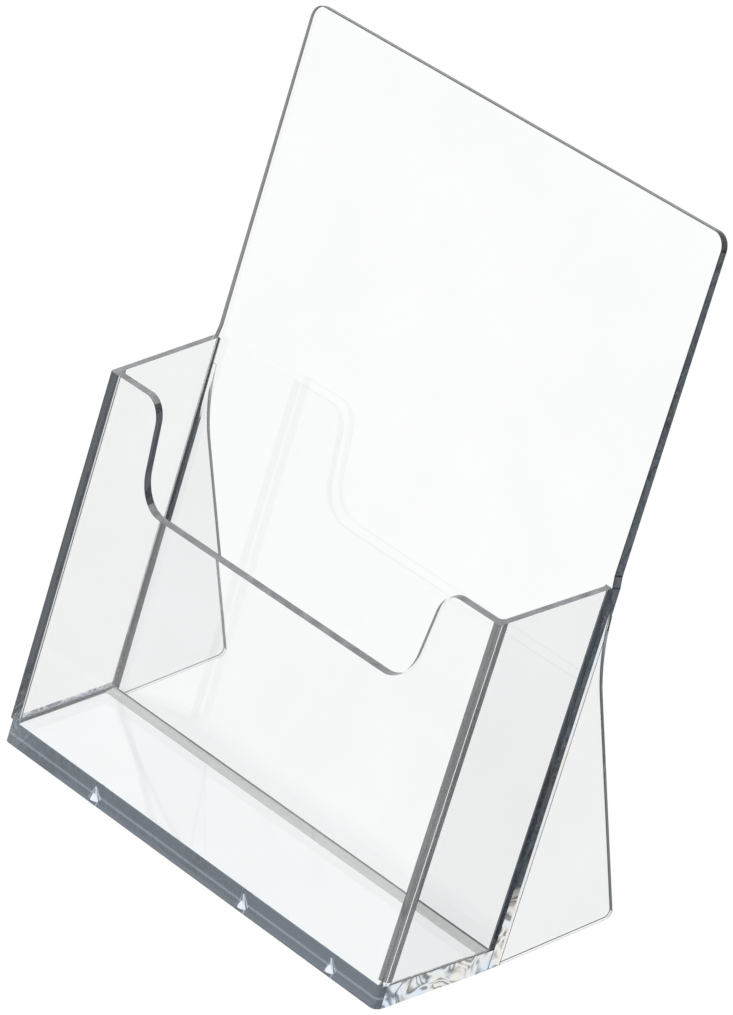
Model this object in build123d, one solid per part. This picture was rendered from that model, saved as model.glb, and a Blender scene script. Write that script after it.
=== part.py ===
from build123d import *
from build123d.topology import SkipClean
import os
from math import atan2, cos, radians, sin, tan

# A free-standing counter holder for A5 leaflets, in clear plastic.
# A tall panel leans back, a pocket stands on its front, and two upright wings behind it keep it from tipping.
# Seen from the side, Y runs from front to back and Z up. While the pieces are made, the heel is at Y = 0, Z = 0:
# it is the line where the rear face of the panel meets the counter. All sizes are in millimetres.

# ---- back panel
lean = radians(21)              # how far the panel, and the pocket's front, lean back from upright
panel_length = 194.5            # counter to top edge, up the slope
panel_foot_thickness = 3.7
panel_top_thickness = 2.0
panel_top_half_width = 81.0
panel_corner_radius = 4.0
panel_step = 0.5                # the panel is drawn in this much just above the pocket
panel_step_height = 3.0

# ---- width of the pocket and the wings, from the centre to the outer face
foot_half_width = 80.0          # at the heel
spread = 0.0088                 # gain in half width for each millimetre up the slope
front_taper = 0.033             # loss in half width for each millimetre forward of the panel

# ---- pocket
pocket_depth = 31.9             # panel face to the outer front face, square to the slope
wall_thickness = 2.0
pocket_tilt = tan(radians(2))   # the underside and the rim both rise towards the front
floor_tilt = tan(radians(3.3))  # the top of the floor rises a little more, so that leaflets slide back
floor_height = 3.95             # top of the floor above the counter, carried back to the heel
rim_height = 97.35              # rim above the counter, carried back to the heel
outer_corner_radius = 0.6
inner_corner_radius = 1.4       # inside the two front corners
slab_corner_radius = 2.2        # outside corners of the floor slab
panel_joint_radius = 0.8        # where the side walls run into the panel
floor_joint_radius = 1.0        # where the floor turns up into the side walls
ramp_run = 2.9                  # a shallow ramp takes the floor up to the panel
ramp_rise = 0.8
kerb_height = 1.2               # how much of the turned-up walls is counted with the floor

# ---- scoop in the front of the pocket
scoop_height = 72.0             # low edge above the counter
scoop_low_half_width = 55.0
scoop_top_half_width = 58.4
scoop_low_radius = 10.0
scoop_top_radius = 6.5

# ---- wings
wing_foot = 35.95               # heel to rear bottom corner, along the counter
wing_rake = radians(4.4)        # the rear edge leans forwards
wing_blend_radius = 62.0        # sweep from the rear edge into the rear face of the panel
wing_thickness = 2.4
wing_tip_cut = 4.5              # the tip is cut blunt this far short of its vanishing point
wing_corner_radius = 2.0

# ---- moulding dimples in the underside, just behind the front face
dimple_places = (-41.0, 22.0, 58.0)
dimple_radius = 2.2
dimple_tip_radius = 0.3
dimple_height = 3.6
dimple_setback = 3.4

# ---- worked out from the above
up_slope = Vector(0, sin(lean), cos(lean))
square_to_slope = Vector(0, -cos(lean), sin(lean))
panel_foot = panel_foot_thickness / cos(lean)
panel_face = Plane(origin=(0, -panel_foot, 0), x_dir=(1, 0, 0), z_dir=square_to_slope)
clear_of_all = 120.0


def meet(distance, height, slope):
    """Where a line, height above the heel and rising forwards, meets the plane this far ahead of the panel's face."""
    y = (height * tan(lean) - panel_foot - distance / cos(lean)) / (1 + slope * tan(lean))
    return (y, height - slope * y)


top_front = (panel_length * sin(lean) - panel_foot, panel_length * cos(lean))
top_rear = (top_front[0] + panel_top_thickness * cos(lean), top_front[1] - panel_top_thickness * sin(lean))
rear_lean = atan2(top_rear[0], top_rear[1])
footprint_centre = (meet(pocket_depth, 0, pocket_tilt)[0] + top_rear[0]) / 2


def side_prism(outline):
    """A solid with this outline seen from the side, wider than the holder."""
    return extrude(Plane.YZ * make_face(Polyline(*outline, close=True)), clear_of_all, both=True)


def side_face(side, taper=0.0):
    """The outer face of one side, -1 for left and 1 for right; it spreads upwards and closes in forwards."""
    normal = Vector(side, 0, 0) - up_slope * spread + square_to_slope * taper
    return Plane(origin=(side * foot_half_width, -panel_foot, 0), z_dir=normal)


def keep_between_sides(solid, taper=0.0, inset=0.0):
    """Trims a solid to the two side faces, or to planes set in from them."""
    for side in (-1, 1):
        solid = split(solid, bisect_by=side_face(side, taper).offset(-inset), keep=Keep.BOTTOM)
    return solid


def floor_top():
    """The plane of the pocket floor's upper face."""
    return Plane(origin=(0, 0, floor_height), z_dir=(0, floor_tilt, 1))


def edges_between(solid, first_planes, second_planes):
    """The edges of a solid where one of the first planes meets one of the second."""
    def lies_on(edge, planes):
        return any(abs(plane.to_local_coords(edge.center()).Z) < 0.01 for plane in planes)

    return [edge for edge in solid.edges() if lies_on(edge, first_planes) and lies_on(edge, second_planes)]


def pocket_hollow():
    """The space in the pocket, down to the floor and back to the panel, with its inside corners rounded."""
    inner_front = pocket_depth - wall_thickness
    above_rim = rim_height + wall_thickness
    space = side_prism([
        meet(0, floor_height, floor_tilt),
        meet(inner_front, floor_height, floor_tilt),
        meet(inner_front, above_rim, pocket_tilt),
        meet(0, above_rim, pocket_tilt),
    ])
    space = keep_between_sides(space, front_taper, wall_thickness)
    front = panel_face.offset(inner_front)
    sides = [side_face(side, front_taper).offset(-wall_thickness) for side in (-1, 1)]
    along = fillet(edges_between(space, [floor_top()], sides), floor_joint_radius)
    upright = fillet(edges_between(space, [front], sides), inner_corner_radius)
    upright = fillet(edges_between(upright, [panel_face], sides), panel_joint_radius)
    heel_y = meet(0, floor_height, floor_tilt)[0]
    ramp = side_prism([
        meet(0, floor_height + ramp_rise, floor_tilt),
        (heel_y - ramp_run, floor_height - floor_tilt * (heel_y - ramp_run)),
        (heel_y + wall_thickness, floor_height - wall_thickness),
    ])
    return (upright & along) - ramp


def pocket_shell(corner_radius):
    """The pocket as it is moulded: a block less its hollow, open at the top and against the panel."""
    block = side_prism([
        meet(0, 0, pocket_tilt),
        meet(pocket_depth, 0, pocket_tilt),
        meet(pocket_depth, rim_height, pocket_tilt),
        meet(0, rim_height, pocket_tilt),
    ])
    block = keep_between_sides(block, front_taper)
    front = panel_face.offset(pocket_depth)
    sides = [side_face(side, front_taper) for side in (-1, 1)]
    block = fillet(edges_between(block, [front], sides), corner_radius)
    return block - pocket_hollow()


def mitre(side):
    """The plane that halves a front corner, from its outer edge to its inner edge; it faces the side wall."""
    outer = side_face(side, front_taper)
    front = panel_face.offset(pocket_depth)
    corner_y, corner_z = meet(pocket_depth, 0, pocket_tilt)
    drop = outer.to_local_coords(Vector(0, corner_y, corner_z)).Z
    corner = Vector(-side * drop / abs(outer.z_dir.X), corner_y, corner_z)
    return Plane(origin=corner, z_dir=outer.z_dir - front.z_dir)


def make_floor():
    """The thick floor slab and its turned-up kerb, with three moulding dimples under its front edge."""
    slab = split(pocket_shell(slab_corner_radius), bisect_by=floor_top().offset(kerb_height), keep=Keep.BOTTOM)
    front_y, front_z = meet(pocket_depth, 0, pocket_tilt)
    for x in dimple_places:
        dimple = Cone(dimple_radius, dimple_tip_radius, dimple_height, align=(Align.CENTER, Align.CENTER, Align.MIN))
        slab -= Pos(x, front_y + dimple_setback, front_z - pocket_tilt * dimple_setback - 0.05) * dimple
    return slab


def scoop():
    """What the scoop takes out of the front panel, as a bar that runs front to back."""
    top = rim_height + 10
    flare = (scoop_top_half_width - scoop_low_half_width) / (rim_height - scoop_height)
    top_half_width = scoop_top_half_width + flare * (top - rim_height)
    outline = make_face(Polyline(
        (-top_half_width, top),
        (-scoop_low_half_width, scoop_height),
        (scoop_low_half_width, scoop_height),
        (top_half_width, top),
        close=True,
    ))
    outline = fillet(outline.vertices().group_by(Axis.Y)[0], scoop_low_radius)
    return extrude(Plane.XZ * outline, clear_of_all, both=True)


def make_front_panel(walls):
    """The scooped front, mitred into the side walls."""
    panel = walls
    for side in (-1, 1):
        panel = split(panel, bisect_by=mitre(side), keep=Keep.BOTTOM)
    panel -= scoop()
    shoulders = [
        edge for edge in panel.edges()
        if edge.length < 2 * wall_thickness
        and abs(abs(edge.center().X) - scoop_top_half_width) < 1
        and edge.center().Z > rim_height - 2
    ]
    return fillet(shoulders, scoop_top_radius)


def make_side_wall(walls, side):
    """One side of the pocket, from the mitred front corner to the panel."""
    return split(walls, bisect_by=mitre(side), keep=Keep.TOP)


def make_back_panel():
    """The leaning panel: thick at the foot, thin at the top, with rounded top corners."""
    panel = keep_between_sides(side_prism([(0, 0), meet(0, 0, pocket_tilt), top_front, top_rear]))
    rim_up_slope = (meet(0, rim_height, pocket_tilt)[1]) / cos(lean)
    rim_half_width = foot_half_width + spread * rim_up_slope
    over_top = panel_length + wall_thickness
    for side in (-1, 1):
        trim = make_face(Polyline(
            (side * rim_half_width, rim_up_slope),
            (side * (rim_half_width - panel_step), rim_up_slope + panel_step_height),
            (side * panel_top_half_width, over_top),
            (side * clear_of_all, over_top),
            (side * clear_of_all, rim_up_slope),
            close=True,
        ))
        panel -= extrude(panel_face * trim, 2 * panel_foot_thickness, both=True)
    corners = [
        edge for edge in panel.edges()
        if edge.length < panel_foot_thickness
        and abs(edge.center().X) > panel_top_half_width - 1
        and edge.center().Z > top_rear[1] - 1
    ]
    return fillet(corners, panel_corner_radius)


def wing_outline():
    """The wing seen from the side: heel, rear corner, raked rear edge, and a sweep into the panel's rear face."""
    meeting = wing_foot / (tan(rear_lean) + tan(wing_rake))
    corner = Vector(meeting * tan(rear_lean), meeting)
    tangent = wing_blend_radius * tan((rear_lean + wing_rake) / 2)
    sweep_start = corner + Vector(sin(wing_rake), -cos(wing_rake)) * tangent
    sweep_end = corner + Vector(sin(rear_lean), cos(rear_lean)) * tangent
    rear_edge = Line((wing_foot, 0), sweep_start)
    sweep = TangentArc(sweep_start, sweep_end, tangent=(-sin(wing_rake), cos(wing_rake)))
    return make_face(Line((0, 0), (wing_foot, 0)) + rear_edge + sweep + Line(sweep_end, (0, 0))), sweep_end


def make_wing(side):
    """One upright wing behind the panel, in line with the side wall in front of it."""
    outline, vanishing_point = wing_outline()
    wing = extrude(Plane.YZ * outline, clear_of_all, both=True)
    outer = side_face(side)
    wing = split(wing, bisect_by=outer, keep=Keep.BOTTOM)
    wing = split(wing, bisect_by=outer.offset(-wing_thickness), keep=Keep.TOP)
    along = Vector(0, sin(rear_lean), cos(rear_lean))
    tip = Vector(0, vanishing_point.X, vanishing_point.Y) - along * wing_tip_cut
    wing = split(wing, bisect_by=Plane(origin=tip, z_dir=along), keep=Keep.BOTTOM)
    rear_corner = wing.edges().filter_by(Axis.X).group_by(Axis.Z)[0].sort_by(Axis.Y)[-1]
    return fillet(rear_corner, wing_corner_radius)


def mark_joints(pieces):
    """Leaves on each piece the outline of every bonded face, where a neighbour is welded to it."""
    marked = {}
    with SkipClean():
        for name, piece in pieces.items():
            others = [other for key, other in pieces.items() if key != name]
            marked[name] = piece.cut(*others)
    return marked


walls = split(pocket_shell(outer_corner_radius), bisect_by=floor_top().offset(kerb_height), keep=Keep.TOP)
pieces = {
    "back_panel": make_back_panel(),
    "front_panel": make_front_panel(walls),
    "left_side_wall": make_side_wall(walls, -1),
    "right_side_wall": make_side_wall(walls, 1),
    "pocket_floor": make_floor(),
    "left_rear_wing": make_wing(-1),
    "right_rear_wing": make_wing(1),
}

# The finished part has its origin on the counter, at the centre of the whole holder's length and width.
os.makedirs("parts", exist_ok=True)
for name, piece in mark_joints(pieces).items():
    placed = Pos(0, -footprint_centre, 0) * piece
    export_step(placed, f"parts/{name}.step")
    box = placed.bounding_box()
    print(f"{name}: {placed.volume / 1000:.2f} cm3, faces {len(placed.faces())}, z {box.min.Z:.2f} to {box.max.Z:.2f}")
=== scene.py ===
# %% [markdown]
# # A clear leaflet holder
#
# The holder is one moulding of water-clear polystyrene: a leaning panel, a pocket with a scooped
# front, a thick floor slab and two wings that keep it from tipping. Nothing on it is painted or
# printed, so its whole look is made by how light bends in the plates and how it is caught by their
# edges.
#
# The sizes and places are settled already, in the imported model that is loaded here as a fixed
# frame. This script adds what the frame has not got: softened edges, a real plastic, a studio and a
# camera.

# %% The frame
import bpy
from math import cos, radians, sin
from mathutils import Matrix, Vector
from mathutils.bvhtree import BVHTree


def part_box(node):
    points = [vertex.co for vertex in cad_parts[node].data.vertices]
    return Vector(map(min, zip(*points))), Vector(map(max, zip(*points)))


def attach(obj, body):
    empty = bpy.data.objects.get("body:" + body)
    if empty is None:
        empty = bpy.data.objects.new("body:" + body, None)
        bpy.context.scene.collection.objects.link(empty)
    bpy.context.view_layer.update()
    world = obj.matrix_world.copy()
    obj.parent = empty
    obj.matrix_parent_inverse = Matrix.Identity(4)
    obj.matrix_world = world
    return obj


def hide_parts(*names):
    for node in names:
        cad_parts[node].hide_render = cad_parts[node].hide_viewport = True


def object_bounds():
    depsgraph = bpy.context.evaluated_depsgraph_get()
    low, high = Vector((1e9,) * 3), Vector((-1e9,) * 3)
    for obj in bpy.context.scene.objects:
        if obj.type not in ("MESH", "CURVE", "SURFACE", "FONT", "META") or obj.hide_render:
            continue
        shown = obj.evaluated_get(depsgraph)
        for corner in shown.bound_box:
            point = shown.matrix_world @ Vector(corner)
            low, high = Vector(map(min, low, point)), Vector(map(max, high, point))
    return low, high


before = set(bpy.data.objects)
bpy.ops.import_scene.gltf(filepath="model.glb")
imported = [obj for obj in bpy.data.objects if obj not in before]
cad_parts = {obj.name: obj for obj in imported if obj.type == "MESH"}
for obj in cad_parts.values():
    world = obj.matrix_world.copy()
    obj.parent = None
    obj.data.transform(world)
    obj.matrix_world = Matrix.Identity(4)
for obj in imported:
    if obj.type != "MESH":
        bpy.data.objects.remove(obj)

mm = 0.001
cad_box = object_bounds()
box_low, box_high = cad_box
box_centre = (box_low + box_high) / 2
for name in sorted(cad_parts):
    low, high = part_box(name)
    print(f"{name}: {[round(side / mm, 1) for side in high - low]} mm")

# %% [markdown]
# ## The camera
#
# A long lens from nearly two metres keeps the edges of the holder almost parallel, as a product
# shot does. The camera could be placed by hand. Here it is placed by two angles and a distance,
# from a point close to the middle of the holder, because those three values say what the picture
# shows: the right side and the front, from above.

# %% Camera
view_azimuth = radians(52.52)
view_elevation = radians(29.94)
view_distance = 1.7153
aim = box_centre + Vector((3.5, 2.5, -2.0)) * mm
sensor_width = 36
lens_length = 245
farthest_seen = 20

bpy.ops.object.select_all(action="DESELECT")
toward_camera = Vector((
    sin(view_azimuth) * cos(view_elevation),
    -cos(view_azimuth) * cos(view_elevation),
    sin(view_elevation),
))
bpy.ops.object.camera_add(location=aim + toward_camera * view_distance)
camera = bpy.context.object
camera.name = "camera"
camera.rotation_mode = "QUATERNION"
camera.rotation_quaternion = toward_camera.to_track_quat("Z", "Y")
camera.data.sensor_width = sensor_width
camera.data.lens = lens_length
camera.data.clip_end = farthest_seen
bpy.context.scene.camera = camera
print(f"camera at {[round(c, 3) for c in camera.location]} m, {lens_length} mm lens")

# %% [markdown]
# ## Helpers for shader nodes
#
# A material is a small graph of nodes. It could be wired by hand in the Shader Editor. These
# helpers do the same in code: one adds a node with its values, one joins two sockets, and one
# starts an empty material, so that each finish below reads as a short list of what it does.


# %% Node helpers
def add_node(tree, kind, **values):
    """Adds a node. A value named like one of its sockets goes to the socket, any other to the node."""
    node = tree.nodes.new(kind)
    for key, value in values.items():
        if key in node.inputs:
            node.inputs[key].default_value = value
        else:
            setattr(node, key, value)
    return node


def join(tree, source, target):
    tree.links.new(source, target)


def new_material(name):
    material = bpy.data.materials.new(name)
    material.use_nodes = True
    material.node_tree.nodes.clear()
    return material, material.node_tree


# %% [markdown]
# ## The studio
#
# Clear plastic shows only what stands round it. In an even white room it would vanish, and in a
# dark one it would look black. A product studio stands it in a white tent on a white ground: light
# that comes straight through a plate, or off its face, is white. The edges still turn dark, because
# light that reaches the eye through an edge has run a long way inside the plate, bouncing from face
# to face, and is weakened and coloured on the way.
#
# Real plastic does that by absorbing a little light on each millimetre. Here the tent does it
# instead, and for a good reason: absorption set strong enough to darken the edges would also darken
# the faces. The tent asks each ray how often it has been reflected, and keeps only a share of its
# light for each reflection after the first. That is the same for every view, so the holder can be
# looked at from any side.

# %% Tent light
straight_white = 1.0
tent_white = (0.97, 0.97, 0.97, 1)
tent_low = (0.20, 0.205, 0.21, 1)
light_kept = 0.5
edge_glow = (0.062, 0.076, 0.094, 1)

tent = bpy.data.worlds.new("white_tent")
tent.use_nodes = True
tent_tree = tent.node_tree
tent_tree.nodes.clear()
tent_path = add_node(tent_tree, "ShaderNodeLightPath")
reflections = tent_path.outputs["Glossy Depth"]
bpy.context.scene.world = tent
print(f"light kept at each reflection: {light_kept}")

# %% [markdown]
# ## The tent's wall
#
# The tent is white on all sides and above. It is open below, where its table stands in the dark.
# The rims of the plates turn some light down there, and that is what draws their thin dark
# outlines. Sheets of cloth and lamps could be modelled for it. A gradient on the direction of the
# ray gives the same light with no noise: the Z of the direction goes through a Map Range, which
# blends white into dark.

# %% Tent wall
dark_below = -0.45
white_above = -0.05

direction = add_node(tent_tree, "ShaderNodeTexCoord")
height = add_node(tent_tree, "ShaderNodeSeparateXYZ")
join(tent_tree, direction.outputs["Generated"], height.inputs["Vector"])
rise = add_node(tent_tree, "ShaderNodeMapRange", interpolation_type="SMOOTHSTEP")
rise.inputs["From Min"].default_value = dark_below
rise.inputs["From Max"].default_value = white_above
join(tent_tree, height.outputs["Z"], rise.inputs["Value"])
wall = add_node(tent_tree, "ShaderNodeMix", data_type="RGBA")
wall.inputs["A"].default_value = tent_low
wall.inputs["B"].default_value = tent_white
join(tent_tree, rise.outputs["Result"], wall.inputs["Factor"])
print(f"tent wall: dark below {dark_below}, white above {white_above}")

# %% [markdown]
# ## Fading light
#
# After the first reflection, each one keeps the same share of the light, so the share left is a
# power: kept to the number of further reflections. What is lost is replaced by a faint blue-grey,
# the colour of a thick edge.

# %% Fade with each reflection
further = add_node(tent_tree, "ShaderNodeMath", operation="SUBTRACT")
further.inputs[1].default_value = 1
join(tent_tree, reflections, further.inputs[0])
share = add_node(tent_tree, "ShaderNodeMath", operation="POWER", use_clamp=True)
share.inputs[0].default_value = light_kept
join(tent_tree, further.outputs[0], share.inputs[1])
faded = add_node(tent_tree, "ShaderNodeMix", data_type="RGBA")
faded.inputs["A"].default_value = edge_glow
join(tent_tree, share.outputs[0], faded.inputs["Factor"])
join(tent_tree, wall.outputs["Result"], faded.inputs["B"])
print(f"light left after three reflections: {light_kept ** 2}")


# %% Straight or reflected
def add_reflected(tree):
    """1 where this ray was reflected on its way, 0 where it came straight through the plates."""
    path = add_node(tree, "ShaderNodeLightPath")
    test = add_node(tree, "ShaderNodeMath", operation="GREATER_THAN")
    test.inputs[1].default_value = 0.5
    join(tree, path.outputs["Glossy Depth"], test.inputs[0])
    return test.outputs[0]


choice = add_node(tent_tree, "ShaderNodeMix", data_type="RGBA")
choice.inputs["A"].default_value = (straight_white, straight_white, straight_white, 1)
join(tent_tree, add_reflected(tent_tree), choice.inputs["Factor"])
join(tent_tree, faded.outputs["Result"], choice.inputs["B"])
tent_glow = add_node(tent_tree, "ShaderNodeBackground")
join(tent_tree, choice.outputs["Result"], tent_glow.inputs["Color"])
tent_out = add_node(tent_tree, "ShaderNodeOutputWorld")
join(tent_tree, tent_glow.outputs[0], tent_out.inputs["Surface"])
print(f"{tent.name}: {len(tent_tree.nodes)} nodes")

# %% [markdown]
# ## The ground
#
# The table is plain white and lit from below, so it has no shadow on it and no visible edge. A
# plain white floor under soft lamps would do, but it would show a grey shadow round the foot. So
# the ground glows. Rays that were reflected pass through it to the tent, whose light fades as it
# should.

# %% Ground
ground_finish, ground_tree = new_material("white_ground")
ground_glow = add_node(ground_tree, "ShaderNodeEmission", Strength=straight_white)
open_ground = add_node(ground_tree, "ShaderNodeBsdfTransparent")
either = add_node(ground_tree, "ShaderNodeMixShader")
join(ground_tree, add_reflected(ground_tree), either.inputs["Fac"])
join(ground_tree, ground_glow.outputs[0], either.inputs[1])
join(ground_tree, open_ground.outputs[0], either.inputs[2])
ground_out = add_node(ground_tree, "ShaderNodeOutputMaterial")
join(ground_tree, either.outputs[0], ground_out.inputs["Surface"])

ground_size = 8
ground_gap = 0.2 * mm
bpy.ops.mesh.primitive_plane_add(size=ground_size, location=(0, 0, box_low.z - ground_gap))
ground = bpy.context.object
ground.name = "ground"
ground.data.materials.append(ground_finish)
print(f"ground {ground_gap / mm:.1f} mm under the holder")

# %% [markdown]
# ## View settings
#
# Standard keeps white as white, where a film-like view would grey it. Light crosses dozens of faces
# inside the slab before it leaves, and a ray that is stopped early turns black, so many bounces are
# allowed.

# %% View settings
bounces = 96
bpy.context.scene.view_settings.view_transform = "Standard"
bpy.context.scene.cycles.max_bounces = bounces
bpy.context.scene.cycles.glossy_bounces = bounces
bpy.context.scene.cycles.transmission_bounces = bounces
bpy.context.scene.cycles.transparent_max_bounces = bounces
print(f"up to {bounces} bounces")

# %% [markdown]
# ## What a moulded face is like
#
# A face polished by a mould is not optically flat. It has a slow waviness, a centimetre or two from
# crest to crest and only microns deep, and after a few leaflets it has hairline scratches, mostly
# along the way the paper slides. Both could be modelled as geometry, but they are far too small, so
# they are bump and roughness.
#
# The waviness is one smooth noise. The scratches are a noise stretched forty times up the slope, of
# which only the sharp crests are kept. Patches are a third noise, and make the tint and the polish
# uneven. All patterns read Object coordinates, so they stay where they are on the piece.


# %% Surface detail
noise_range = (0.35, 0.65)
slope_turn = (radians(21), 0, radians(7))
stretch_up_slope = 1 / 40
crest_width = 0.04


def add_waviness(tree, coords, wave, depth):
    """A bump of smooth waves of this length and depth."""
    waves = add_node(tree, "ShaderNodeTexNoise", Scale=1 / wave, Detail=1.0, Roughness=0.4)
    join(tree, coords, waves.inputs["Vector"])
    node = add_node(tree, "ShaderNodeBump", Strength=1.0, Distance=depth)
    join(tree, waves.outputs["Fac"], node.inputs["Height"])
    return node.outputs["Normal"]


def add_scratches(tree, coords, spacing, cut, dullness):
    """This dullness on hairlines up the slope, 0 between them; a higher cut leaves fewer."""
    stretch = add_node(tree, "ShaderNodeMapping")
    stretch.inputs["Rotation"].default_value = slope_turn
    stretch.inputs["Scale"].default_value = (1, stretch_up_slope, stretch_up_slope)
    join(tree, coords, stretch.inputs["Vector"])
    strands = add_node(tree, "ShaderNodeTexNoise", Scale=1 / spacing, Detail=2.0, Roughness=0.6)
    join(tree, stretch.outputs["Vector"], strands.inputs["Vector"])
    crest = add_node(tree, "ShaderNodeMapRange", clamp=True)
    crest.inputs["From Min"].default_value = cut
    crest.inputs["From Max"].default_value = cut + crest_width
    crest.inputs["To Max"].default_value = dullness
    join(tree, strands.outputs["Fac"], crest.inputs["Value"])
    return crest.outputs["Result"]


def add_patches(tree, coords, patch, low, high):
    """A value that wanders between low and high over patches of this size."""
    noise = add_node(tree, "ShaderNodeTexNoise", Scale=1 / patch, Detail=3.0, Roughness=0.55)
    join(tree, coords, noise.inputs["Vector"])
    spread = add_node(tree, "ShaderNodeMapRange", clamp=True)
    spread.inputs["From Min"].default_value = noise_range[0]
    spread.inputs["From Max"].default_value = noise_range[1]
    spread.inputs["To Min"].default_value = low
    spread.inputs["To Max"].default_value = high
    join(tree, noise.outputs["Fac"], spread.inputs["Value"])
    return spread.outputs["Result"]


# %% [markdown]
# ## The plastic
#
# Polystyrene bends light strongly, with an index close to 1.58. A Glass shader would do for the
# clear faces. The Principled shader with full transmission does the same, and can be hazy as well,
# so one recipe makes every finish: it refracts at each face, and reflects all of the light that
# meets a face too flatly. Its base colour tints what goes through a face, and a tint that wanders
# by one part in a hundred keeps the plates from looking computed. A scratch is rough, so it
# scatters a little light, and the polish between the scratches is not.

# %% Clear plastic
plastic_ior = 1.58
polish_patch = 12 * mm
scratch_spacing = 0.9 * mm
scratch_cut = 0.69


def evenly(amount):
    """The same amount in red, green and blue."""
    return (amount, amount, amount)


def make_plastic(
        name, tint, spread, wave, depth, polish=None, scratch=None, haze=None, patch=30 * mm):
    """A clear finish. Its tint varies by spread, and its roughness between the two values of polish.

    Without polish the face is mirror-smooth, and scratch is the roughness of the hairlines on it.
    haze(tree, coords) gives the share of light that the face scatters, where it is not quite clear.
    """
    material, tree = new_material(name)
    coords = add_node(tree, "ShaderNodeTexCoord").outputs["Object"]
    shader = add_node(tree, "ShaderNodeBsdfPrincipled", IOR=plastic_ior)
    shader.inputs["Transmission Weight"].default_value = 1
    blend = add_node(tree, "ShaderNodeMix", data_type="RGBA")
    blend.inputs["A"].default_value = tuple(value - part for value, part in zip(tint, spread)) + (1,)
    blend.inputs["B"].default_value = tuple(value + part for value, part in zip(tint, spread)) + (1,)
    join(tree, add_patches(tree, coords, patch, 0.0, 1.0), blend.inputs["Factor"])
    join(tree, blend.outputs["Result"], shader.inputs["Base Color"])
    shader.inputs["Roughness"].default_value = 0
    if polish:
        join(tree, add_patches(tree, coords, polish_patch, *polish), shader.inputs["Roughness"])
    elif scratch:
        hairlines = add_scratches(tree, coords, scratch_spacing, scratch_cut, scratch)
        join(tree, hairlines, shader.inputs["Roughness"])
    if haze:
        clear = add_node(tree, "ShaderNodeMath", operation="SUBTRACT")
        clear.inputs[0].default_value = 1
        join(tree, haze(tree, coords), clear.inputs[1])
        join(tree, clear.outputs[0], shader.inputs["Transmission Weight"])
    join(tree, add_waviness(tree, coords, wave, depth), shader.inputs["Normal"])
    output = add_node(tree, "ShaderNodeOutputMaterial")
    join(tree, shader.outputs["BSDF"], output.inputs["Surface"])
    return material


polished_plate = make_plastic(
    "polished_plate", (0.975, 0.98, 0.982), evenly(0.006), 18 * mm, 0.012 * mm, scratch=0.03)
polished_slab = make_plastic(
    "polished_slab", (0.97, 0.98, 0.985), evenly(0.008), 16 * mm, 0.004 * mm)
print(f"{polished_plate.name}, {polished_slab.name}: index {plastic_ior}")

# %% [markdown]
# ## Edges and corners
#
# No moulded edge is perfectly sharp. It has a radius of a few tenths of a millimetre, which shows
# as a thin dark outline; here that outline is painted shade, a near-black tint on the radius. The
# edge is also where the holder is rubbed, so it is duller than the faces and uneven along its length.
#
# The rounded inside corners are lenses. In a real studio they look past the white ground to the
# dark ends of the room, and show as grey stripes. That room could be built round the holder. This
# tent is white on every side, so each corner is given a dark tint instead: painted shade, a
# stand-in for the stripes. The tint is set on the plastic, so it stays from any side.

# %% Edge and corner finishes
# The worn edge's patchy roughness is wear, and its near-black tint is painted shade: the dark outline of
# the radius.
worn_edge_painted_shade = make_plastic(
    "worn_edge_painted_shade", (0.08, 0.083, 0.087), evenly(0.04), 1.5 * mm, 0.02 * mm, polish=(0.05, 0.22))
# The three corner tints, darkest at the front corners, are painted shade: the grey stripes of the rounded
# inside corners.
front_corner_painted_shade = make_plastic(
    "front_corner_painted_shade", (0.035, 0.035, 0.037), evenly(0.012), 10 * mm, 0.01 * mm, polish=(0.0, 0.03))
floor_corner_painted_shade = make_plastic(
    "floor_corner_painted_shade", (0.16, 0.16, 0.165), evenly(0.03), 10 * mm, 0.01 * mm, polish=(0.0, 0.03))
panel_corner_painted_shade = make_plastic(
    "panel_corner_painted_shade", (0.35, 0.35, 0.355), evenly(0.04), 10 * mm, 0.01 * mm, polish=(0.0, 0.03))
# The ramp's grey tint is painted shade: a grey stripe on the floor's upward faces that tilt forward.
floor_ramp_painted_shade = make_plastic(
    "floor_ramp_painted_shade", (0.53, 0.53, 0.525), evenly(0.03), 12 * mm, 0.01 * mm, polish=(0.0, 0.02))
print(f"{worn_edge_painted_shade.name}, {front_corner_painted_shade.name}, {floor_corner_painted_shade.name}, {panel_corner_painted_shade.name}, {floor_ramp_painted_shade.name}")

# %% [markdown]
# ## Faces that are not quite clear
#
# Three kinds of face scatter some light. The rim was cut by the tool's parting face, and is satin.
# The front of the slab has a faint lighter line along its middle, a painted highlight. The ends of
# the slab, and the foot of the panel beside it, are full of bright ripples with dark lines between
# and orange and blue fringes: painted light, in place of the light that the thick slab bends.
#
# The satin could be carved into the mesh, but it is far too shallow for it. Here each is the same
# plastic with haze: a share of plain white scatter in place of clear transmission. A haze can be
# even, a band at one height, or the crests of a rippled noise, which a Ping-Pong node folds into
# ridges with dark lines between.


# %% Haze patterns
rim_haze = (0.17, 0.30)
rim_patch = 4 * mm
# The slab front's painted highlight line: its height, its half width and its strongest haze; front_haze is
# the even haze beside it.
painted_line_height = box_low.z + 3.9 * mm
painted_line_half_width = 0.55 * mm
front_haze = 0.10
painted_line_peak = 0.26


def even_haze(tree, coords):
    return add_patches(tree, coords, rim_patch, *rim_haze)


def height_of(tree, coords):
    parts = add_node(tree, "ShaderNodeSeparateXYZ")
    join(tree, coords, parts.inputs["Vector"])
    return parts.outputs["Z"]


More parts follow.
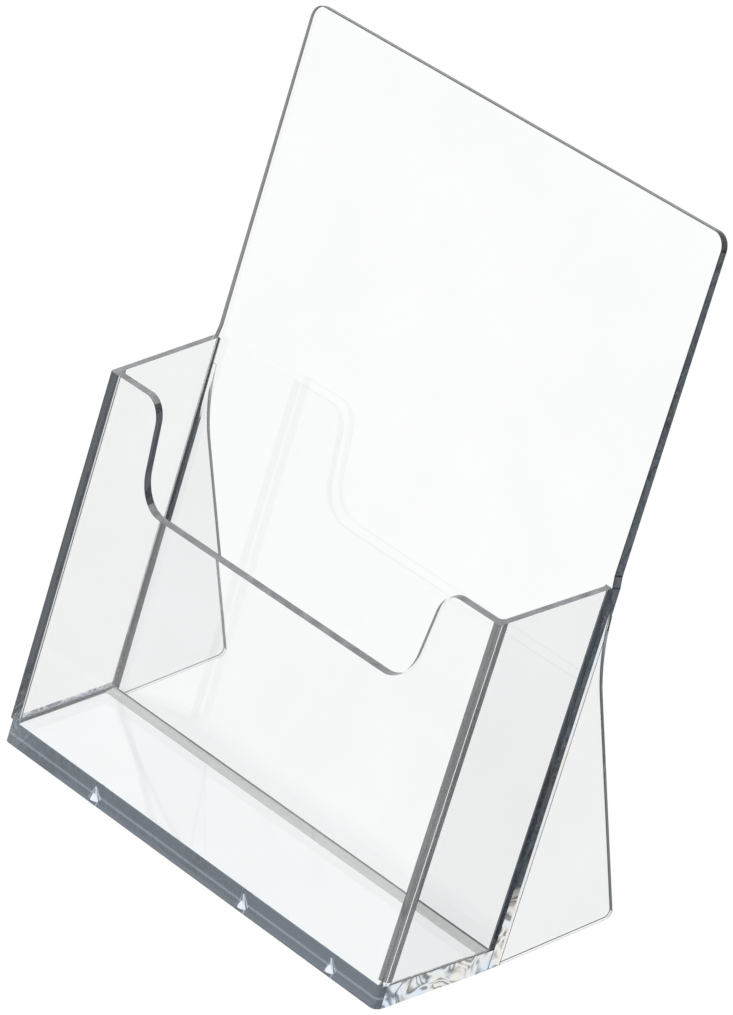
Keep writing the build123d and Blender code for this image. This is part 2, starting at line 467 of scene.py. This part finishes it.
def painted_line_haze(tree, coords):
    """A painted highlight: a faint line of scatter at one height along the slab's front."""
    away = add_node(tree, "ShaderNodeMath", operation="SUBTRACT")
    away.inputs[1].default_value = painted_line_height
    join(tree, height_of(tree, coords), away.inputs[0])
    size = add_node(tree, "ShaderNodeMath", operation="ABSOLUTE")
    join(tree, away.outputs[0], size.inputs[0])
    line = add_node(tree, "ShaderNodeMapRange", interpolation_type="SMOOTHSTEP")
    line.inputs["From Min"].default_value = painted_line_half_width
    line.inputs["From Max"].default_value = 0
    line.inputs["To Min"].default_value = front_haze
    line.inputs["To Max"].default_value = painted_line_peak
    join(tree, size.outputs[0], line.inputs["Value"])
    return line.outputs["Result"]


# %% Ripple haze
ripple_size = 8 * mm
ripple_fold = 0.11
ripple_dark, ripple_bright = 0.005, 0.085
least_ripple_haze = 0.22
haze_above_ripples = 0.07
ripples_end = box_low.z + 24 * mm
ripples_fade_from = box_low.z + 12 * mm


def painted_ripple_haze(tree, coords):
    """Painted light: bright ripples of scatter with dark lines between, fading out above the slab."""
    ripples = add_node(
        tree, "ShaderNodeTexNoise", Scale=1 / ripple_size, Detail=1.5, Roughness=0.45, Distortion=1.6)
    join(tree, coords, ripples.inputs["Vector"])
    crest = add_node(tree, "ShaderNodeMath", operation="PINGPONG")
    crest.inputs[1].default_value = ripple_fold
    join(tree, ripples.outputs["Fac"], crest.inputs[0])
    bright = add_node(tree, "ShaderNodeMapRange", clamp=True)
    bright.inputs["From Min"].default_value = ripple_dark
    bright.inputs["From Max"].default_value = ripple_bright
    bright.inputs["To Min"].default_value = least_ripple_haze
    join(tree, crest.outputs[0], bright.inputs["Value"])
    low_down = add_node(tree, "ShaderNodeMapRange", interpolation_type="SMOOTHSTEP")
    low_down.inputs["From Min"].default_value = ripples_end
    low_down.inputs["From Max"].default_value = ripples_fade_from
    low_down.inputs["To Min"].default_value = haze_above_ripples
    join(tree, height_of(tree, coords), low_down.inputs["Value"])
    product = add_node(tree, "ShaderNodeMath", operation="MULTIPLY")
    join(tree, bright.outputs["Result"], product.inputs[0])
    join(tree, low_down.outputs["Result"], product.inputs[1])
    return product.outputs[0]


# %% Hazy finishes
satin_rim = make_plastic(
    "satin_rim", (0.94, 0.94, 0.945), evenly(0.03), 3 * mm, 0.01 * mm, polish=(0.05, 0.15),
    haze=even_haze)
# The slab's front has a blue tint, painted shade that deepens the blue-grey bar, and a lighter line of
# scatter, a painted highlight.
slab_front = make_plastic(
    "slab_front", (0.76, 0.87, 0.98), evenly(0.02), 16 * mm, 0.004 * mm, polish=(0.0, 0.03),
    haze=painted_line_haze)
# The rippled ends' tint wanders from orange to blue, painted colour fringes, and their bright ripples with
# dark lines are painted light.
rippled_end = make_plastic(
    "rippled_end", (0.84, 0.87, 0.88), (0.10, 0.02, -0.09), 2.5 * mm, 0.03 * mm, polish=(0.0, 0.10),
    haze=painted_ripple_haze, patch=9 * mm)
print(f"{satin_rim.name}, {slab_front.name}, {rippled_end.name}")

# %% [markdown]
# ## Where the plates are one
#
# The frame has each plate as its own closed solid, and the solids meet face to face. In the real
# moulding there is no face there at all: light runs from the floor into the walls without a break.
# A joined mesh would show that, but the plates have to stay separate pieces. So each contact face
# gets a Transparent finish, which lets light pass without bending it.

# %% Bonded joint
bonded_joint, joint_tree = new_material("bonded_joint")
joint_shader = add_node(joint_tree, "ShaderNodeBsdfTransparent")
joint_output = add_node(joint_tree, "ShaderNodeOutputMaterial")
join(joint_tree, joint_shader.outputs["BSDF"], joint_output.inputs["Surface"])
finishes = (
    polished_plate, bonded_joint, worn_edge_painted_shade, front_corner_painted_shade, floor_corner_painted_shade, panel_corner_painted_shade, floor_ramp_painted_shade,
    polished_slab, satin_rim, slab_front, rippled_end)
slot_of = {finish.name: index for index, finish in enumerate(finishes)}
print(f"{len(finishes)} finishes")

# %% [markdown]
# ## Finding the contact faces
#
# A face is bonded if a point just outside it lies inside a neighbour. The faces could be picked by
# hand, but a test goes on working when the frame changes. A BVH tree answers quickly: it finds the
# neighbour's nearest surface, whose normal says on which side of it the point is.

# %% Contact test
probe = 0.05 * mm
surfaces = {}
for name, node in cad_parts.items():
    corners = [vertex.co for vertex in node.data.vertices]
    triangles = [tuple(face.vertices) for face in node.data.polygons]
    surfaces[name] = BVHTree.FromPolygons(corners, triangles)
print(f"{len(surfaces)} surfaces to test against")


def is_bonded(name, face):
    """True where a point just outside this face lies inside a neighbour."""
    outside = face.center + face.normal * probe
    for other, surface in surfaces.items():
        if other == name:
            continue
        place, normal, _, distance = surface.find_nearest(outside)
        if distance < 2 * probe and (outside - place).dot(normal) < 0:
            return True
    return False


# %% [markdown]
# ## A copy to work on
#
# A plate could be modelled again from a cube, but its shape is settled in the frame, and a node of
# the frame is never changed. So its mesh is copied into a new piece, without the node's tags, and
# the piece takes over its place and its body. The copy is loose triangles at first, so each
# triangle is given its finish, plastic or bonded, before triangles are merged into whole faces.


# %% Copy a node
def copy_node(name):
    """A new piece with the node's mesh, the finishes in its slots, and its bonded faces marked."""
    bpy.ops.object.select_all(action="DESELECT")
    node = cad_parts[name]
    piece = node.copy()
    piece.data = node.data.copy()
    piece.name = "clear_" + name
    piece.parent = None
    for tag in list(piece.keys()):
        del piece[tag]
    bpy.context.scene.collection.objects.link(piece)
    bpy.context.view_layer.objects.active = piece
    piece.select_set(True)
    piece.data.materials.clear()
    for finish in finishes:
        piece.data.materials.append(finish)
    plain = slot_of["polished_slab" if name == "pocket_floor" else "polished_plate"]
    for face in piece.data.polygons:
        face.material_index = slot_of["bonded_joint"] if is_bonded(name, face) else plain
    return piece


# %% [markdown]
# ## Whole faces
#
# Merge by Distance joins the loose triangles, and Limited Dissolve takes away each edge between two
# triangles that lie in one plane. It is told to stop at a change of material, so that the outline
# of a bonded face stays.


# %% Merge flat faces
merge_distance = 0.001 * mm
flat_within = radians(0.3)


def merge_faces():
    """Joins the triangles of the active piece into whole flat faces."""
    bpy.ops.mesh.customdata_custom_splitnormals_clear()
    bpy.ops.object.mode_set(mode="EDIT")
    bpy.ops.mesh.select_all(action="SELECT")
    bpy.ops.mesh.remove_doubles(threshold=merge_distance)
    bpy.ops.mesh.dissolve_limited(angle_limit=flat_within, delimit={"MATERIAL"})
    bpy.ops.mesh.select_all(action="DESELECT")
    bpy.ops.object.mode_set(mode="OBJECT")


def faces_by_edge(mesh):
    """For each edge, the faces on it."""
    sides = {}
    for face in mesh.polygons:
        for key in face.edge_keys:
            sides.setdefault(key, []).append(face)
    return sides


# %% [markdown]
# ## Corners, rims and ends
#
# A rounded corner is a row of long narrow faces, each turned a little from the next. They could be
# selected one by one. Here they are found by that description, and their place says which corner
# they belong to. The rims, the slab's front and the rippled ends are found by the way that they
# face.

# %% Faces with a finish of their own
faces_sideways = 0.95
faces_forward = 0.85
faces_partly_forward = 0.3
faces_up = 0.9
rim_faces_up = 0.8
ramp_tilt = 0.1
slab_corner_reach = 6 * mm


def special_finish(face, name):
    """The finish of a rim, the ramp, the slab's front or a rippled end; None for any other face."""
    # The ramp and the slab's front carry painted shade, the slab's front a painted highlight line, and the
    # rippled ends painted light.
    if name == "pocket_floor":
        at_slab_corner = abs(face.center.x) > box_high.x - slab_corner_reach
        least_forward = faces_partly_forward if at_slab_corner else faces_forward
        if abs(face.normal.x) > faces_sideways:
            return "rippled_end"
        if face.normal.y < -least_forward:
            return "slab_front"
        if face.normal.z > faces_up and face.normal.y < -ramp_tilt:
            return "floor_ramp_painted_shade"
    if name == "back_panel" and abs(face.normal.x) > faces_sideways:
        return "rippled_end"
    if name in ("front_panel", "left_side_wall", "right_side_wall") and face.normal.z > rim_faces_up:
        return "satin_rim"
    return None


# %% Inside corners
shortest_strip = 6 * mm
widest_strip = 1.2 * mm
least_turn = radians(1)
most_turn = radians(32)
floor_strip_tilt = 0.1
faces_into_pocket = 0.02
lean = 0.384
pocket_low, pocket_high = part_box("right_side_wall")
pocket_middle = (pocket_low + pocket_high) / 2


def corner_painted_shade(face, name):
    """The painted shade of a rounded strip, by the corner that it lies in."""
    if name == "pocket_floor":
        beside_wall = abs(face.normal.x) > floor_strip_tilt and face.normal.z > floor_strip_tilt
        return "floor_corner_painted_shade" if beside_wall else None
    back_of_middle = face.center.y - pocket_middle.y - (face.center.z - pocket_middle.z) * lean
    if back_of_middle > 0:
        return "panel_corner_painted_shade"
    return "front_corner_painted_shade" if face.normal.y > faces_into_pocket else None


def finish_corners(piece, name):
    """Gives every face with a finish of its own that finish, and tells how many there are."""
    mesh = piece.data
    sides = faces_by_edge(mesh)
    marked = 0
    for face in mesh.polygons:
        if face.material_index == slot_of["bonded_joint"]:
            continue
        corners = [mesh.vertices[index].co for index in face.vertices]
        longest = max((a - b).length for a, b in zip(corners, corners[1:] + corners[:1]))
        turned = any(
            least_turn < face.normal.angle(other.normal) < most_turn
            for key in face.edge_keys for other in sides[key] if other != face)
        finish = special_finish(face, name)
        is_strip = turned and longest > shortest_strip and face.area / longest < widest_strip
        if not finish and is_strip:
            finish = corner_painted_shade(face, name)
        if finish:
            face.material_index = slot_of[finish]
            marked += 1
    return marked


# %% [markdown]
# ## Softened edges
#
# Each free sharp edge gets a radius of 0.3 mm. A Bevel modifier on the whole piece would also cut
# the bonded edges and open a groove between two plates, so the edges are chosen first: sharper than
# 35 degrees, with no bonded face beside them. The bevel is given the worn finish, whose dark tint is
# painted shade.

# %% Soften the free edges
edge_radius = 0.3 * mm
edge_steps = 3
sharp_from = radians(35)


def soften_edges(piece):
    """Bevels the free sharp edges, and tells how many there were."""
    mesh = piece.data
    sides = faces_by_edge(mesh)
    for edge in mesh.edges:
        faces = sides.get(edge.key, [])
        sharp = len(faces) == 2 and faces[0].normal.angle(faces[1].normal) > sharp_from
        edge.select = sharp and all(face.material_index != slot_of["bonded_joint"] for face in faces)
    chosen = sum(edge.select for edge in mesh.edges)
    bpy.ops.object.mode_set(mode="EDIT")
    bpy.ops.mesh.select_mode(type="EDGE")
    bpy.ops.mesh.bevel(
        offset=edge_radius, segments=edge_steps, profile=0.5, clamp_overlap=True,
        material=slot_of["worn_edge_painted_shade"])
    bpy.ops.object.mode_set(mode="OBJECT")
    return chosen


# %% [markdown]
# ## Smooth shading
#
# Smooth by Angle shades the radii as curves. On its own it would also tilt the shading of the flat
# faces beside them, and a tilted face bends light wrongly, which clear plastic shows at once. A
# Weighted Normal modifier gives the big flat faces their true direction back.


# %% Smooth shading
smooth_up_to = radians(40)


def smooth_piece(piece):
    bpy.ops.object.shade_smooth_by_angle(angle=smooth_up_to)
    weigh = piece.modifiers.new("keep_flats_flat", "WEIGHTED_NORMAL")
    weigh.keep_sharp = True
    weigh.weight = 100
    bpy.ops.object.modifier_apply(modifier=weigh.name)


# %% [markdown]
# ## From node to piece
#
# Every plate goes through the same steps, so one function does them. It then attaches the piece to
# the body it rides on, hides the node that it stands for, and counts the edges that have not
# exactly two faces: a closed piece has none.


# %% Finish one piece
def count_open_edges(piece):
    return sum(len(faces) != 2 for faces in faces_by_edge(piece.data).values())


def finish_piece(name):
    """Makes the clear piece that stands for one node."""
    piece = copy_node(name)
    merge_faces()
    marked = finish_corners(piece, name)
    softened = soften_edges(piece)
    smooth_piece(piece)
    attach(piece, "root")
    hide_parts(name)
    print(
        f"{piece.name}: {len(piece.data.polygons)} faces, {marked} with a finish of their own, "
        f"{softened} edges softened, {count_open_edges(piece)} open edges")


# %% [markdown]
# ## The leaning panel
#
# The panel carries the leaflets. It is thick at the foot, where it joins the floor, and thin at the
# top, so that the moulding comes out of its tool. It could be a cube that is scaled, leaned and
# bevelled. Its wide face must stay optically flat, which is why the frame's own faces are kept and
# only the rim is worked on.

# %% Back panel
finish_piece("back_panel")

# %% [markdown]
# ## The scooped front
#
# The front is cut down in the middle, so that a hand can take a leaflet. A curve could be drawn for
# the cut and extruded. The frame has that outline already. Its cut edge runs through two long
# curves on each side, and catches the light as one line, so the radius follows the whole run.

# %% Front panel
finish_piece("front_panel")

# %% [markdown]
# ## The side walls
#
# The two walls close the pocket. Each is mitred into the front, and in the real moulding the corner
# is one curve. They mirror each other, and one could be a mirrored copy of the other. Each is made
# from its own node instead, since a mirrored copy would have to be turned right side out again.

# %% Side walls
finish_piece("left_side_wall")
finish_piece("right_side_wall")

# %% [markdown]
# ## The floor slab
#
# The floor is by far the thickest part. Seen from the front it is a dark blue-grey bar, since all
# the light in it has come a long way. Three small dimples in its underside are left by the mould,
# and shine like drops. They could be a bump in the finish, but only real hollows bend the light in
# that way, so they are in the frame's shape.

# %% Floor slab
finish_piece("pocket_floor")

# %% [markdown]
# ## The wings
#
# Two upright wings stand behind the panel and are all that the holder rests on at the back. They
# are thin, and show as little more than an outline. They could be flat sheets with a Solidify
# modifier. The frame's own plates are used, because their front edges follow the lean of the panel
# exactly.

# %% Rear wings
finish_piece("left_rear_wing")
finish_piece("right_rear_wing")
